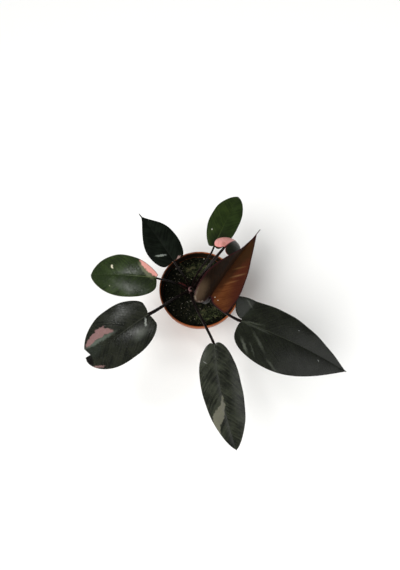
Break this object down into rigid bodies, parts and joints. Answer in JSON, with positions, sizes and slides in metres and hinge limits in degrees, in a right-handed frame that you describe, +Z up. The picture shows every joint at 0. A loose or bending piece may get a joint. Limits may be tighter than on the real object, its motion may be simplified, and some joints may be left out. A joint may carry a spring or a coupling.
{
  "type": "potted philodendron",
  "caption": "Small philodendron with dark green, bronze and pink-splashed leaves on arching stalks, in a round terracotta-coloured nursery pot.",
  "frame": {"origin": "centre of the pot's flat base, on the surface that it stands on", "axes": "+Z up along the pot's axis, -Y towards the front, +X to the right"},
  "size_m": [0.342, 0.3479, 0.2066],
  "materials": {
    "pot_plastic": "thin moulded plastic, satin",
    "peat": "loose dark peat with pale grit",
    "moss": "short moss",
    "stem_skin": "fresh pinkish stem skin",
    "dried_sheath": "dry, papery, dark red",
    "petiole_skin": "smooth dark stalk skin, satin",
    "leaf_green": "leaf cuticle, satin",
    "leaf_dark": "leaf cuticle, satin",
    "leaf_grey_green": "leaf cuticle, satin, dusty",
    "leaf_pink": "leaf cuticle without green, satin",
    "leaf_bronze": "young leaf cuticle, satin"
  },
  "bodies": {
    "root": {"pot": "pot_plastic", "potting_soil": "peat", "moss_patch_back": "moss", "moss_patch_front": "moss", "moss_patch_right": "moss", "stem": "stem_skin", "dried_sheath": "dried_sheath", "left_leaf_blade": "leaf_green", "left_leaf_petiole": "petiole_skin", "back_left_leaf_blade": "leaf_dark", "back_left_leaf_petiole": "petiole_skin", "back_leaf_blade": "leaf_green", "back_leaf_petiole": "petiole_skin", "small_pink_leaf_blade": "leaf_pink", "small_pink_leaf_petiole": "petiole_skin", "bronze_leaf_blade": "leaf_bronze", "bronze_leaf_petiole": "petiole_skin", "front_left_leaf_blade": "leaf_grey_green", "front_left_leaf_petiole": "petiole_skin", "front_leaf_blade": "leaf_grey_green", "front_leaf_petiole": "petiole_skin", "right_leaf_blade": "leaf_grey_green", "right_leaf_petiole": "petiole_skin"}
  },
  "joints": []
}
